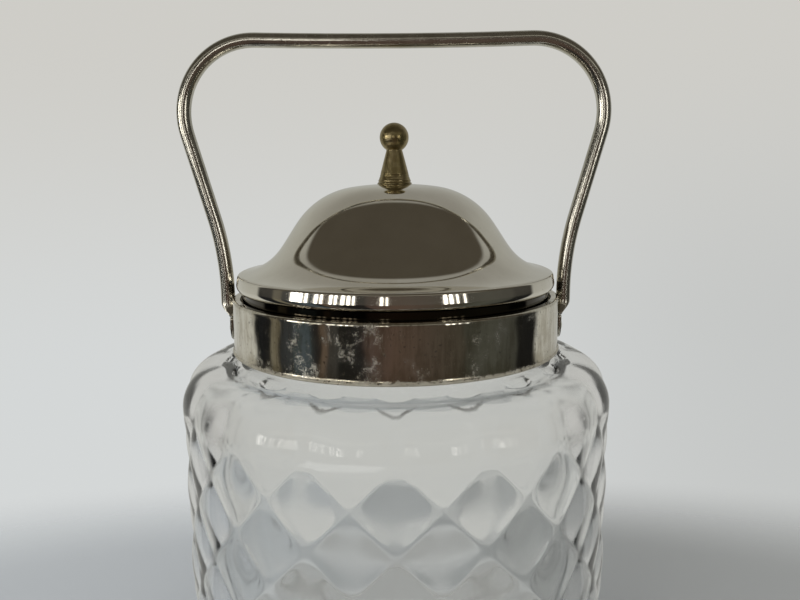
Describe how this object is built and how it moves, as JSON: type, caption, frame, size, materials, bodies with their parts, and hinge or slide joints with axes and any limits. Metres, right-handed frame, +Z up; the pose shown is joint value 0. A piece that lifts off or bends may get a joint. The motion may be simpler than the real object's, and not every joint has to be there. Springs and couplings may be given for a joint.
{
  "type": "biscuit jar",
  "caption": "Round glass biscuit jar with a lozenge relief, a plated collar, a lift-off bell lid with a brass ball finial, and a swinging bail handle.",
  "frame": {"origin": "centre of the jar's foot, on the surface it stands on", "axes": "+Z up along the jar's axis; +X towards one rivet of the bail; the jar is seen from -Y"},
  "size_m": [0.1524, 0.1524, 0.2405],
  "materials": {
    "glass": "fire-polished, with a soft pressed relief",
    "plate": "polished nickel plate, slightly worn",
    "brass": "turned, dulled",
    "cement": "rough plaster",
    "steel": "plain"
  },
  "bodies": {
    "jar": {"glass_jar": "glass", "cement_ring": "cement", "collar": "plate", "rivet_left": "plate", "rivet_right": "plate"},
    "lid": {"lid_shell": "plate", "lid_flange": "plate", "finial": "brass", "finial_screw": "steel", "finial_washer": "steel"},
    "handle": {"handle": "plate"}
  },
  "joints": [
    {"name": "handle_swing", "type": "hinge", "parent": "jar", "child": "handle", "pos_m": [0, 0, 0.1375], "axis": [1, 0, 0], "range_deg": [-104, 104]},
    {"name": "lid_lift", "type": "slide", "parent": "jar", "child": "lid", "axis": [0, 0, 1], "range_m": [0, 0.0235]}
  ]
}
